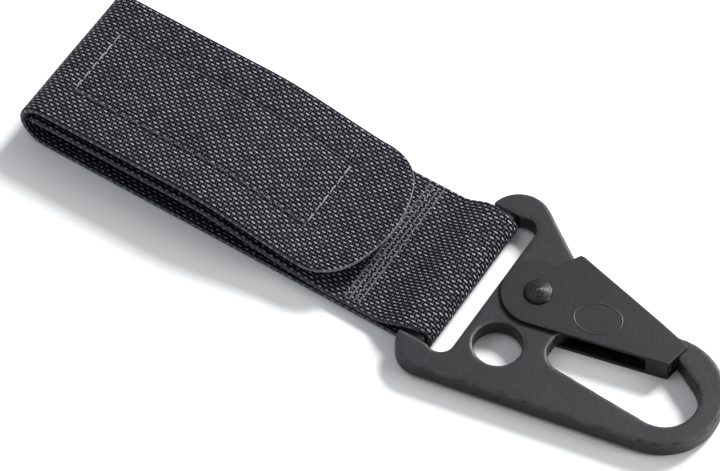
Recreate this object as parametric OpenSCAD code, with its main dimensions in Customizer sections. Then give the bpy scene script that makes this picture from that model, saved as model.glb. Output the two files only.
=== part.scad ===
// Belt-loop key organiser: a sewn webbing loop with a hook-and-loop flap that
// closes round a belt, and a flat snap hook with a sprung sheet-metal gate.
// Millimetres. +X runs along the strap to the hook, +Y across it, +Z up.
// The origin is under the middle of the whole object, on the surface it lies on.

/* [Webbing] */
// Width of the webbing
web_w = 32; // [24:1:50]
// Thickness of one layer of webbing
web_t = 1.2; // [1.0:0.1:1.6]
// Length from the outside of the belt turn to the outside of the fold round the bar
strap_l = 92; // [84:1:120]
// Outside height of the loop, floor to the top of the flap
loop_h = 11; // [10:0.5:14]
// Slack between the two layers where they are sewn together
layer_gap = 0.3; // [0.2:0.05:0.5]

/* [Flap] */
// Bare length of strap between the flap's tip and the fold round the bar
flap_setback = 17.7; // [15:0.5:30]
// Radius of the flap's bowed tip
flap_tip_r = 25; // [22:1:40]
// Corner radius where the tip meets the flap's sides
flap_corner_r = 10; // [6:0.5:11]
// Length of bare flap past the end of the hook tape
flap_grip = 12.6; // [8:0.2:20]

/* [Hook-and-loop tapes] */
// Width of the hook tape under the flap
hook_tape_w = 20; // [16:1:22]
// Thickness of the hook tape
hook_tape_t = 1.2; // [0.8:0.1:1.4]
// Width of the loop tape on the front layer
loop_tape_w = 25; // [20:1:28]
// Thickness of the loop tape
loop_tape_t = 1.2; // [0.8:0.1:1.4]
// Gap left between the two tapes
tape_gap = 0.1; // [0.05:0.05:0.2]

/* [Thread] */
// Thickness of the thread
thread_d = 0.35; // [0.2:0.05:0.5]
// Length of one stitch
stitch_l = 1.9; // [1.2:0.1:2.6]
// Gap between two stitches
stitch_gap = 0.5; // [0.3:0.1:1.0]
// Distance of a seam from its tape's edge
seam_inset = 2; // [1.5:0.25:3]
// Number of rows in the tack across the strap
tack_rows = 4; // [2:1:5]
// Distance between two rows of the tack
tack_pitch = 1.0; // [0.8:0.1:1.2]

/* [Hook frame] */
// Thickness of the cast frame
frame_t = 4.0; // [3.6:0.1:5.0]
// Distance from the middle of the bar to the outside of the hook
reach = 56.4; // [52:0.5:66]
// Width of the bar in the fold
bar_w = 5.0; // [4:0.25:6]
// Thickness of the bar in the fold
bar_t = 2.9; // [2.4:0.1:3.2]
// Width of the slot that the webbing goes through
slot_w = 5.3; // [4.8:0.1:7]
// Spare length of the slot past the two edges of the webbing
slot_spare = 2.0; // [1.5:0.25:4]
// Metal outside each end of the slot
ear_wall = 4.9; // [4:0.25:7]
// Outside radius of the hook's end
hook_r = 11.8; // [11:0.2:13]
// Inside radius of the hook's end
throat_r = 6.4; // [5:0.2:7]
// Metal between the throat and the outside of the hook's end
hook_wall = 4.3; // [3.6:0.1:6]
// Radius of the corner between the body and the lower arm
crotch_r = 4.0; // [3:0.25:4.5]

/* [Ring hole] */
// Diameter of the round hole for a split ring or a lanyard
ring_hole_d = 9.2; // [6:0.1:10]
// Distance from the slot to the middle of the round hole
ring_hole_x = 6.7; // [6.5:0.1:9]
// Distance of the round hole from the centre line
ring_hole_y = 9.6; // [8:0.1:11]

/* [Gate] */
// Thickness of the gate's sheet
gate_t = 0.6; // [0.5:0.05:0.8]
// Gap between the gate's plates and the frame
gate_gap = 0.1; // [0.05:0.05:0.2]
// Distance from the slot to the rivet
rivet_x = 7.4; // [7.3:0.1:9]
// Distance of the rivet from the centre line
rivet_y = 3.6; // [2:0.1:5]
// Radius of the gate's round end
gate_end_r = 7.1; // [6:0.1:7.2]
// Height of the thumb corner above the rivet
thumb_rise = 11.3; // [11.1:0.1:13]
// How far the gate turns when it is pressed
gate_travel = 22; // [10:1:24]

/* [Rivet and spring] */
// Diameter of the rivet's shank
rivet_d = 3.0; // [2.4:0.1:3.2]
// Diameter of the rivet's head
rivet_head_d = 5.4; // [4.6:0.1:6]
// Height of the rivet's head
rivet_head_h = 1.0; // [0.6:0.1:1.4]
// Running clearance of the gate on the rivet, on the radius
rivet_play = 0.05; // [0.02:0.01:0.1]
// Diameter of the spring's wire
wire_d = 0.7; // [0.5:0.05:0.7]
// Radius of the spring's coil, to the middle of the wire
coil_r = 2.45; // [2.4:0.05:2.6]
// Turns in the spring's coil
coil_turns = 2; // [1:1:2]

/* [Hidden] */
$fn = 64;
hair = 0.004;

// Webbing path
turn_r = loop_h / 2;
pair_t = hook_tape_t + loop_tape_t + tape_gap;
front_top = loop_h - web_t - pair_t;
sewn_top = 2 * web_t + layer_gap;
drop = front_top - sewn_top;
flap_end = strap_l - flap_setback;
drop_to = flap_end - 4;
drop_from = drop_to - 34;
drop_steps = 12;

// Hinge lines of the webbing: the flap folds at the top of the turn, and the
// fold round the bar bends where the two layers leave the tack
flap_axis = [turn_r, loop_h + 0.05];
flex_x = strap_l - 10.5;
flex_r = sewn_top / 2;
hinge_gap = 0.15;
front_start = turn_r - sqrt(pow(turn_r - web_t, 2) - pow(front_top - turn_r, 2)) + 0.8;
run_end = flex_x - flex_r - hinge_gap;

// Flap outline: a bowed tip that runs into two round corners
corner_y = web_w / 2 - flap_corner_r;
tip_c = [flap_end - flap_tip_r, 0];
corner_x = tip_c[0] + sqrt(pow(flap_tip_r - flap_corner_r, 2) - pow(corner_y, 2));
tip_angle = atan2(corner_y, corner_x - tip_c[0]);

// Tapes and seams
tape_start = turn_r + 1;
hook_tape_end = flap_end - flap_grip;
loop_tape_end = hook_tape_end + 4.3;
seam_half = hook_tape_w / 2 - seam_inset;
seam_x = [tape_start + seam_inset / 2, hook_tape_end - seam_inset];
loop_seam_x = loop_tape_end - 1;
loop_seam_y = (hook_tape_w + loop_tape_w) / 4;
tack_x = flap_end - 1.5;
tack_half = web_w / 2 - 1;
thread_lift = 0.02;
thread_h = 0.6 * thread_d;

// Fold round the bar
bar_gap = 0.1;
fold_w = bar_w + 2 * (bar_gap + web_t);
fold_h = bar_t + 2 * (bar_gap + web_t);
bar_x = strap_l - fold_w / 2;
bar_x0 = bar_x - bar_w / 2;
bar_z = fold_h / 2;
bar_corner_r = bar_t / 2 - 0.2;

// Frame, measured from the middle of the bar
slot_half = web_w / 2 + slot_spare - 1;
slot_x0 = bar_w / 2;
slot_x1 = slot_x0 + slot_w;
half_w = slot_half + ear_wall;
near_ear_r = 5.5;
far_ear_r = 6.3;
near_ear = [near_ear_r - bar_w / 2, near_ear_r - half_w];
far_ear = [far_ear_r - bar_w / 2, half_w - far_ear_r];
hook_c = [reach - hook_r, -2.0];
throat_c = [reach - hook_wall - throat_r, -2.9];
rivet_c = [slot_x1 + rivet_x, rivet_y];
body_r = 9.4;
crotch_c = [rivet_c[0] + 11.4, -4.4];
ring_hole_c = [slot_x1 + ring_hole_x, -ring_hole_y];
bar_half = web_w / 2 + 0.5;
bar_relief = fold_w / 2 + bar_gap;
nose_slope = 28.8;
nose_x = reach - 15.1;
heel_l = 2.0;

// Gate
plate_z = frame_t / 2 + gate_gap;
gate_h = plate_z + gate_t;
thumb = [rivet_c[0] + 2.4, rivet_c[1] + thumb_rise];
web_end = [nose_x - 3.9, rivet_c[1] + 6.6];
tip_top = [nose_x + 3.1, rivet_c[1] + 4.7];
tip_low = [nose_x + 2.0, rivet_c[1] - 0.7];
thumb_notch_r = 2.9;
low_edge = tangent_point(rivet_c, gate_end_r - hair, tip_low);
tab_l = 4.3;
tab_start = tip_low + tab_l * unit(angle_of(low_edge - tip_low));
heel_y = tip_low[1] + 1.0;
thumb_r = 0.9;
thumb_flat = thumb + [0.8, 0];
thumb_side = thumb - [0.3, 0.7];
notch_c = rivet_c + [-1.6, gate_end_r + thumb_notch_r];

// Rivet and spring
head_gap = 0.05;
rivet_fit = 0.02;
set_head_t = 0.3;
set_head_r = rivet_d / 2 + 0.8;
pocket_r = coil_r + wire_d / 2 + 0.6;
pocket_floor = frame_t / 2 - 2.3;
coil_z = pocket_floor + 0.05 + wire_d / 2;
coil_pitch = wire_d + 0.08;
leg_angle = 45;
leg_l = 13.9;
anchor_l = 5.0;
leg_reach = leg_l + 2.1;
channel_r = pocket_r - 0.3;
coil_sweep = 360 * coil_turns + 85;
coil_start = leg_angle - 90 - coil_sweep;
leg_floor = frame_t / 2 - 0.85;

total_l = bar_x + reach;

// ---- functions ----

function unit(a) = [cos(a), sin(a)];
function angle_of(v) = atan2(v[1], v[0]);
function ease(t) = let (c = min(max(t, 0), 1)) c * c * (3 - 2 * c);

// Top of the front layer above the floor: a smooth drop, taken in straight steps
function drop_z(i) = front_top - drop * ease(i / drop_steps);
function front_z(x) = let (t = drop_steps * (x - drop_from) / (drop_to - drop_from), i = floor(t))
    drop_z(i) + (drop_z(i + 1) - drop_z(i)) * (t - i);

// Slope of the front layer, in degrees
function front_slope(x) = atan((front_z(x + 0.5) - front_z(x - 0.5)));

// Stations along a layer: its two ends and the steps of the drop between them
function stations(x0, x1) = concat([x0],
    [for (i = [0:drop_steps]) let (x = drop_from + (drop_to - drop_from) * i / drop_steps)
        if (x > x0 + 0.1 && x < x1 - 0.1) x], [x1]);

// Where the lower tangent from point p touches a circle
function tangent_point(c, r, p) = let (d = p - c, a = angle_of(d) - acos(r / norm(d))) c + r * unit(a);

// Side and cross directions for a ring of wire at point i of a path
function heading(p, i) = let (n = len(p) - 1, d = p[min(i + 1, n)] - p[max(i - 1, 0)]) d / norm(d);
function ring(p, i, r, sides) =
    let (t = heading(p, i), s = cross([0, 0, 1], t), u = s / norm(s), v = cross(t, u))
    [for (k = [0:sides - 1]) p[i] + r * (cos(360 * k / sides) * u + sin(360 * k / sides) * v)];

// ---- shapes that repeat ----

module place() translate([-total_l / 2, 0, 0]) children();
module in_clip() place() translate([bar_x, 0, bar_z]) children();

// A side view drawn in X and Z, given a width across the strap
module across(w) rotate([90, 0, 0]) translate([0, 0, -w / 2]) linear_extrude(w) children();

// Two circles and the straight sides that touch both, a hair inside the circles so that they cross cleanly
module link(c1, r1, c2, r2) {
    d = c2 - c1;
    a = angle_of(d);
    b = acos((r1 - r2) / norm(d));
    s1 = r1 - hair;
    s2 = r2 - hair;
    translate(c1) circle(r1);
    translate(c2) circle(r2);
    polygon([c1 + s1 * unit(a + b), c1 + s1 * unit(a - b), c2 + s2 * unit(a - b), c2 + s2 * unit(a + b)]);
}

module soft_rect(w, h, r) {
    square([w, h - 2 * r], center = true);
    square([w - 2 * r, h], center = true);
    for (x = [-1, 1], y = [-1, 1]) translate([x * (w / 2 - r), y * (h / 2 - r)]) circle(r);
}

// A layer that follows the front webbing, from low to high above its top
module layer(x0, x1, low, high) {
    s = stations(x0, x1);
    n = len(s);
    polygon(concat([for (x = s) [x, front_z(x) + high]],
        [for (i = [1:n]) [s[n - i], front_z(s[n - i]) + low]]));
}

// One stitch lying on a surface at height z and slope a, turned by yaw
module stitch(x, y, z, a, yaw, l) translate([x, y, z]) rotate([0, -a, 0]) rotate([0, 0, yaw])
    translate([-l / 2, -thread_d / 2, thread_lift]) cube([l, thread_d, thread_h]);

module seam_along(x0, x1, y, lift) {
    n = floor((x1 - x0) / (stitch_l + stitch_gap));
    step = (x1 - x0) / n;
    for (i = [0:n - 1]) let (x = x0 + (i + 0.5) * step)
        stitch(x, y, front_z(x) + lift, front_slope(x), 0, stitch_l);
}

module seam_across(x, y0, y1, lift) {
    n = floor((y1 - y0) / (stitch_l + stitch_gap));
    step = (y1 - y0) / n;
    for (i = [0:n - 1])
        stitch(x, y0 + (i + 0.5) * step, front_z(x) + lift, front_slope(x), 90, stitch_l);
}

// ---- webbing ----

module back_webbing() color("#2b2c30") place() across(web_w)
    translate([turn_r, 0]) square([run_end - turn_r, web_t]);

module belt_turn() color("#2b2c30") place() across(web_w) difference() {
    translate([turn_r, turn_r]) circle(turn_r);
    translate([turn_r, turn_r]) circle(turn_r - web_t);
    translate([turn_r, -1]) square([turn_r + 1, turn_r + 1]);
    translate([turn_r - hinge_gap, turn_r]) square([turn_r + 1, turn_r + 1]);
}

module front_webbing() color("#2b2c30") place() across(web_w) layer(front_start, run_end, -web_t, 0);

module flap_outline() {
    translate([0, -web_w / 2]) square([corner_x, web_w]);
    for (side = [-1, 1]) translate([corner_x, side * corner_y]) circle(flap_corner_r);
    intersection() {
        translate(tip_c) circle(flap_tip_r - hair, $fn = 128);
        polygon([tip_c, tip_c + 2 * flap_tip_r * unit(-tip_angle), tip_c + 2 * flap_tip_r * unit(tip_angle)]);
    }
}

module flap_webbing() color("#33343a") place() intersection() {
    across(web_w) layer(flap_axis[0], flap_end, pair_t, pair_t + web_t);
    linear_extrude(2 * loop_h) flap_outline();
}

module bar_turn() color("#2b2c30") place() across(web_w) difference() {
    union() {
        translate([flex_x, flex_r]) circle(flex_r);
        translate([bar_x, bar_z]) soft_rect(fold_w, fold_h, bar_corner_r + bar_gap + web_t);
        polygon([[flex_x, 0], [bar_x, 0], [bar_x, fold_h], [bar_x0 + 0.6, fold_h],
            [bar_x0 - 0.4, fold_h - 0.5], [flex_x + 1.5, sewn_top], [flex_x, sewn_top]]);
    }
    translate([bar_x, bar_z]) soft_rect(bar_w + 2 * bar_gap, bar_t + 2 * bar_gap, bar_corner_r + bar_gap);
    // the gap that narrows to where the two layers meet
    polygon([[bar_x0 - 2.6, web_t], [bar_x, web_t], [bar_x, bar_z], [bar_x0, bar_z],
        [bar_x0 - 0.2, bar_z + 0.4]]);
}

// ---- tapes and thread ----

module loop_tape() color("#1d1e21") place() across(loop_tape_w)
    layer(tape_start, loop_tape_end, 0, loop_tape_t);

module hook_tape() color("#1d1e21") place() across(hook_tape_w)
    layer(tape_start, hook_tape_end, pair_t - hook_tape_t, pair_t);

module loop_tape_stitches() color("#101113") place() {
    for (side = [-1, 1]) seam_along(seam_x[0], loop_seam_x, side * loop_seam_y, loop_tape_t);
    seam_across(loop_seam_x, 1 - loop_seam_y, loop_seam_y - 1, loop_tape_t);
}

module tack_stitches() color("#101113") place()
    for (row = [0:tack_rows - 1]) seam_across(tack_x + row * tack_pitch, -tack_half, tack_half, 0);

module flap_stitches() color("#101113") place() {
    for (side = [-1, 1]) seam_along(seam_x[0], seam_x[1], side * seam_half, pair_t + web_t);
    for (x = seam_x) seam_across(x, 0.5 - seam_half, seam_half - 0.5, pair_t + web_t);
}

// ---- hook ----

module throat() {
    link(crotch_c, crotch_r, throat_c, throat_r);
    lip = throat_c + throat_r * unit(90 - nose_slope);
    polygon([[crotch_c[0] - crotch_r, crotch_c[1]], [throat_c[0], crotch_c[1]], lip,
        [nose_x + heel_l, lip[1] + (lip[0] - nose_x - heel_l) * tan(nose_slope)], [nose_x + heel_l, heel_y],
        [nose_x, heel_y], [nose_x, 2 * half_w], [crotch_c[0] - crotch_r, 2 * half_w]]);
}

module frame_outline() difference() {
    union() {
        difference() {
            link(near_ear, near_ear_r, hook_c, hook_r);
            throat();
        }
        link(near_ear, near_ear_r, far_ear, far_ear_r);
        link(near_ear, near_ear_r, rivet_c, body_r);
        link(far_ear, far_ear_r, rivet_c, body_r);
    }
    link([(slot_x0 + slot_x1) / 2, slot_w / 2 - slot_half], slot_w / 2,
        [(slot_x0 + slot_x1) / 2, slot_half - slot_w / 2], slot_w / 2);
}

module clip_frame() color("#3a3b3f") in_clip() {
    difference() {
        translate([0, 0, -frame_t / 2]) linear_extrude(frame_t) frame_outline();
        translate([-bar_w, -bar_half, -frame_t]) cube([bar_w + bar_relief, 2 * bar_half, 2 * frame_t]);
        translate([ring_hole_c[0], ring_hole_c[1], -frame_t]) cylinder(h = 2 * frame_t, d = ring_hole_d);
        translate([rivet_c[0], rivet_c[1], -frame_t]) cylinder(h = 2 * frame_t, r = rivet_d / 2 + rivet_fit);
        translate([rivet_c[0], rivet_c[1], pocket_floor]) {
            cylinder(h = frame_t, r = pocket_r);
            rotate([0, 0, coil_start - 90]) translate([0, coil_r - wire_d, 0])
                cube([anchor_l + 0.4, 2 * wire_d, frame_t]);
        }
        translate([rivet_c[0], rivet_c[1], leg_floor]) linear_extrude(frame_t)
            polygon([[0, 0], channel_r * unit(leg_angle - 97), leg_reach * unit(leg_angle - gate_travel - 26),
                leg_reach * unit(leg_angle - 4), channel_r * unit(leg_angle - 25)]);
    }
    rotate([90, 0, 0]) translate([0, 0, -bar_half]) linear_extrude(2 * bar_half)
        soft_rect(bar_w, bar_t, bar_corner_r);
}

module gate_outline() difference() {
    union() {
        translate(rivet_c) circle(gate_end_r);
        translate(thumb + [thumb_r - 0.3, -thumb_r]) circle(thumb_r);
        polygon([low_edge, tab_start, tip_low, tip_top, web_end, thumb_flat, thumb_side,
            rivet_c + [0, gate_end_r - 0.2], rivet_c + [-1.6, gate_end_r - 0.6]]);
    }
    translate(notch_c) circle(thumb_notch_r);
}

// A strip of sheet standing along the inside of the edge from a to b
module upright(a, b, side) let (d = (b - a) / norm(b - a), n = side * [-d[1], d[0]] * gate_t)
    translate([0, 0, -gate_h]) linear_extrude(2 * gate_h) polygon([a, b, b + n, a + n]);

module gate() color("#2f3034") in_clip() difference() {
    union() {
        for (z = [-gate_h, plate_z]) translate([0, 0, z]) linear_extrude(gate_t) gate_outline();
        upright(thumb_flat, web_end, -1);
        upright(tab_start, tip_low, 1);
    }
    translate([rivet_c[0], rivet_c[1], -2 * gate_h]) cylinder(h = 4 * gate_h, r = rivet_d / 2 + rivet_play);
    translate([rivet_c[0], rivet_c[1], -2 * gate_h])
        cylinder(h = gate_h + set_head_t + head_gap, r = set_head_r + rivet_play);
}

module gate_rivet() color("#26272a") in_clip() translate([rivet_c[0], rivet_c[1], 0]) {
    translate([0, 0, -gate_h]) cylinder(h = 2 * gate_h + head_gap, d = rivet_d);
    translate([0, 0, -gate_h]) cylinder(h = set_head_t, r = set_head_r);
    // a low dome with two turned steps
    translate([0, 0, gate_h + head_gap]) rotate_extrude() polygon([[0, 0], [rivet_head_d / 2, 0],
        [rivet_head_d / 2, rivet_head_h * 0.3], [rivet_head_d * 0.42, rivet_head_h * 0.66],
        [rivet_head_d * 0.3, rivet_head_h * 0.82], [rivet_head_d * 0.3, rivet_head_h * 0.9],
        [rivet_head_d * 0.16, rivet_head_h * 0.94], [rivet_head_d * 0.16, rivet_head_h], [0, rivet_head_h]]);
}

module gate_spring() color("#8a8c90") in_clip() translate([rivet_c[0], rivet_c[1], coil_z]) {
    top = coil_turns * coil_pitch;
    // anchor leg, coil and the leg that pushes the gate
    steps = 20 * coil_turns + 5;
    route = concat(
        [for (i = [0:2]) let (s = anchor_l * (2 - i) / 2)
            concat(coil_r * unit(coil_start) - s * unit(coil_start + 90), [0])],
        [for (i = [1:steps]) concat(coil_r * unit(coil_start + coil_sweep * i / steps), [top * i / steps])],
        [for (i = [1:3]) concat(coil_r * unit(leg_angle - 90) + leg_l * i / 3 * unit(leg_angle), [top])]);
    sides = 8;
    n = len(route);
    polyhedron(
        points = [for (i = [0:n - 1]) each ring(route, i, wire_d / 2, sides)],
        faces = concat(
            [[for (k = [0:sides - 1]) k]],
            [for (i = [0:n - 2], k = [0:sides - 1]) let (a = i * sides + k, b = i * sides + (k + 1) % sides)
                [b, a, a + sides, b + sides]],
            [[for (k = [sides - 1:-1:0]) (n - 1) * sides + k]]));
}

back_webbing();
belt_turn();
front_webbing();
loop_tape();
loop_tape_stitches();
tack_stitches();
flap_webbing();
hook_tape();
flap_stitches();
bar_turn();
clip_frame();
gate();
gate_rivet();
gate_spring();
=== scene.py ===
# %% [markdown]
# # A belt-loop key organiser
#
# One strip of plain-woven webbing makes a loop for a belt, a closing flap and a
# fold round the bar of a flat snap hook. Hook-and-loop tape holds the flap down.
# The hook is a coated casting with a folded sheet gate on a rivet. The packed
# model gives every place and size; this lesson adds the cloth, thread and coating.

# %% The frame
import math

import bmesh
import bpy
import numpy as np
from mathutils import Matrix, Vector, noise


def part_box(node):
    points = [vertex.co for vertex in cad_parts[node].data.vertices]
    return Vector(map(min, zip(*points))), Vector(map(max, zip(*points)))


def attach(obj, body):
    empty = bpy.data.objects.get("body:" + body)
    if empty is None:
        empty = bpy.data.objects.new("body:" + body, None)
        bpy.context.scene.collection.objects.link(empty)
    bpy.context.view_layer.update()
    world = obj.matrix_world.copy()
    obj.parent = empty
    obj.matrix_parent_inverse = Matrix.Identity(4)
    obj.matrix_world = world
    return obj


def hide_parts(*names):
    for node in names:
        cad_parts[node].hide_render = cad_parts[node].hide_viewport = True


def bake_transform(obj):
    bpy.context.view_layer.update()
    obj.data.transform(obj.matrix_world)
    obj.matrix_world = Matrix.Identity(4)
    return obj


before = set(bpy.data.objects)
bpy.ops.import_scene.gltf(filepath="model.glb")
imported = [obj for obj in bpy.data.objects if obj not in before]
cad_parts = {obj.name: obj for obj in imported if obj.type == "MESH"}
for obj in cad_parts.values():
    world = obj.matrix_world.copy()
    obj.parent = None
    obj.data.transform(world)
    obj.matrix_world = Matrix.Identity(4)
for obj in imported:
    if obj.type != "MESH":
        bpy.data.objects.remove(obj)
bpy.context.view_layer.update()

MM = 0.001
box = {name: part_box(name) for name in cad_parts}

# %% [markdown]
# ## Camera
#
# A long lens from high on the near side keeps the strap's two edges almost
# parallel. The camera is placed by the direction it looks from, so that the
# angles can be read off and changed one at a time.

# %% Camera
LENS, SENSOR = 194.2, 36.0
AZIMUTH, ELEVATION, DISTANCE = math.radians(32.64), math.radians(56.49), 0.7295
TARGET = Vector((-5.3, -0.6, 0)) * MM

level = math.cos(ELEVATION)
away = Vector((math.sin(AZIMUTH) * level, -math.cos(AZIMUTH) * level, math.sin(ELEVATION)))
camera = bpy.data.objects.new("camera", bpy.data.cameras.new("camera"))
bpy.context.scene.collection.objects.link(camera)
camera.data.lens, camera.data.sensor_width = LENS, SENSOR
camera.data.clip_start, camera.data.clip_end = 0.01, 20
camera.location = TARGET + away * DISTANCE
camera.rotation_euler = (-away).to_track_quat("-Z", "Y").to_euler()
bpy.context.scene.camera = camera
print("camera at, mm:", [round(x / MM) for x in camera.location])

# %% [markdown]
# ## Floor and light
#
# A wide white floor and a pale sky give the soft product look. One large lamp
# behind the strap draws the soft shadow on the near side, and a narrower one on
# the right puts a bright line along rounded metal edges.

# %% Floor and light
FLOOR_SIZE = 6


def lamp(name, place, aim, size, watts, tint=(1, 1, 1)):
    """A square soft lamp at a place, facing a point."""
    data = bpy.data.lights.new(name, "AREA")
    data.size, data.energy, data.color = size, watts, tint
    made = bpy.data.objects.new(name, data)
    bpy.context.scene.collection.objects.link(made)
    made.location = place
    made.rotation_euler = (Vector(aim) - Vector(place)).to_track_quat("-Z", "Y").to_euler()


lamp("key", (0.22, 1.0, 0.90), (0, 0, 0), 0.42, 35)
lamp("edge", (0.95, 0.25, 0.42), (0.03, 0, 0), 0.35, 6.5, (1.0, 0.98, 0.95))
lamp("sky_panel", (-0.5, -0.2, 1.4), (0, 0, 0), 0.9, 4.0, (0.94, 0.97, 1.0))

bpy.ops.mesh.primitive_plane_add(size=FLOOR_SIZE)
floor = bpy.context.object
floor.name = "floor"

world = bpy.data.worlds.new("studio")
bpy.context.scene.world = world
world.use_nodes = True
world.node_tree.nodes["Background"].inputs["Color"].default_value = (0.93, 0.965, 1.0, 1)
world.node_tree.nodes["Background"].inputs["Strength"].default_value = 0.40
bpy.context.scene.view_settings.view_transform = "Standard"

# %% [markdown]
# ## A small shader language
#
# Node trees are hard to read as links. A Wire stands for one value in a tree and
# takes part in plain Python sums, and a Finish makes the nodes behind them.

# %% Wires
class Wire:
    """A value that a node gives, used in sums."""

    def __init__(self, finish, socket):
        self.finish, self.socket = finish, socket

    def sum(self, operation, *values):
        return self.finish.node("ShaderNodeMath", {"operation": operation}, values)

    def __add__(self, other):
        return self.sum("ADD", self, other)

    def __sub__(self, other):
        return self.sum("SUBTRACT", self, other)

    def __rsub__(self, other):
        return self.sum("SUBTRACT", other, self)

    def __mul__(self, other):
        return self.sum("MULTIPLY", self, other)

    def __truediv__(self, other):
        return self.sum("DIVIDE", self, other)

    __radd__, __rmul__ = __add__, __mul__

    def floor(self):
        return self.sum("FLOOR", self)

    def sine(self):
        return self.sum("SINE", self)

    def root(self):
        return self.sum("SQRT", self)

    def most(self, other):
        return self.sum("MAXIMUM", self, other)

    def least(self, other):
        return self.sum("MINIMUM", self, other)

    def wrap(self, other):
        return self.sum("FLOORED_MODULO", self, other)

    def ramp(self, low, high):
        """0 below low, 1 above high, and a smooth rise between them."""
        return self.finish.node("ShaderNodeMapRange", {"interpolation_type": "SMOOTHSTEP"},
            {"Value": self, "From Min": low, "From Max": high})


# %% Finishes
class Finish:
    """A material that is being written, with its nodes and its main shader."""

    def __init__(self, name):
        self.material = bpy.data.materials.new(name)
        self.material.use_nodes = True
        self.tree = self.material.node_tree
        self.shader = self.tree.nodes["Principled BSDF"]

    def node(self, kind, settings=None, inputs=(), output=0):
        made = self.tree.nodes.new(kind)
        for key, value in (settings or {}).items():
            setattr(made, key, value)
        for key, value in (inputs.items() if isinstance(inputs, dict) else enumerate(inputs)):
            self.set(made.inputs[key], value)
        return Wire(self, made.outputs[output])

    def set(self, socket, value):
        if isinstance(value, Wire):
            self.tree.links.new(value.socket, socket)
        else:
            socket.default_value = value

    def blend(self, share, first, second):
        """A colour between two colours."""
        pair = [c if isinstance(c, Wire) else (*c, 1) for c in (first, second)]
        return self.node("ShaderNodeMix", {"data_type": "RGBA"}, {0: share, 6: pair[0], 7: pair[1]}, 2)

    def split(self, vector):
        made = self.node("ShaderNodeSeparateXYZ", None, {0: vector})
        return [Wire(self, out) for out in made.socket.node.outputs]

    def join(self, x, y, z=0.0):
        return self.node("ShaderNodeCombineXYZ", None, (x, y, z))

    def grain(self, place, scale, detail=2.0):
        """Soft noise with so many cells a metre."""
        return self.node("ShaderNodeTexNoise", None, {"Vector": place, "Scale": scale, "Detail": detail})

    def here(self):
        """The place on the object, in metres, which stays with a piece that bends."""
        return self.node("ShaderNodeAttribute", {"attribute_name": "rest_place"}, output=1)

    def measure(self, name):
        return self.node("ShaderNodeAttribute", {"attribute_name": name}, output=2)

    def bump(self, height, depth):
        return self.node("ShaderNodeBump", None, {"Strength": 1.0, "Distance": depth, "Height": height})

    def done(self, **sockets):
        for key, value in sockets.items():
            name = key.replace("_", " ").title().replace("Ior", "IOR")
            if isinstance(value, tuple) and len(value) == 3:
                value = (*value, 1)
            self.set(self.shader.inputs[name], value)
        print("finish", self.material.name, "has", len(self.tree.nodes), "nodes")
        return self.material


# %% [markdown]
# ## The woven finish
#
# In a plain weave every thread goes over one and under the next. Two sets of
# sine waves, one along the strap and one across, give the height of the warp and
# the weft, and the higher of the two is what shows. The threads are flat bundles
# of shiny nylon: a painted highlight makes the crowns lighter and painted shade
# makes the gaps darker, and each float carries fine filament lines. The pattern
# is laid out in a map that runs along the strip, so it bends with the cloth.

# %% The height of the weave
WARP_PITCH, WEFT_PITCH = 0.71 * MM, 0.78 * MM
FLATNESS = 0.96


def weave_heights(u, v, in_u, in_v):
    """Heights of the warp and the weft. Each rises and dips in turn at every crossing."""
    odd_column, odd_row = u.floor().wrap(2) * -2 + 1, v.floor().wrap(2) * -2 + 1
    warp_round = (1 - in_v * in_v * FLATNESS).most(0).root() * 0.62 + 0.08
    weft_round = (1 - in_u * in_u * FLATNESS).most(0).root() * 0.55
    return ((u * math.pi).sine() * odd_row * 0.5 + warp_round,
        (v * math.pi).sine() * odd_column * -0.5 + weft_round)


# %% The woven finish
WEAVE_DEPTH = 0.16 * MM
ALONG_SCALE, FILAMENT_SCALE = 900, 14000
RIM_START, RIM_WIDTH, CUT_WIDTH = 0.03 * MM, 0.36 * MM, 0.19 * MM
CUT_PAINTED_LIGHTER = 2.2


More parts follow.
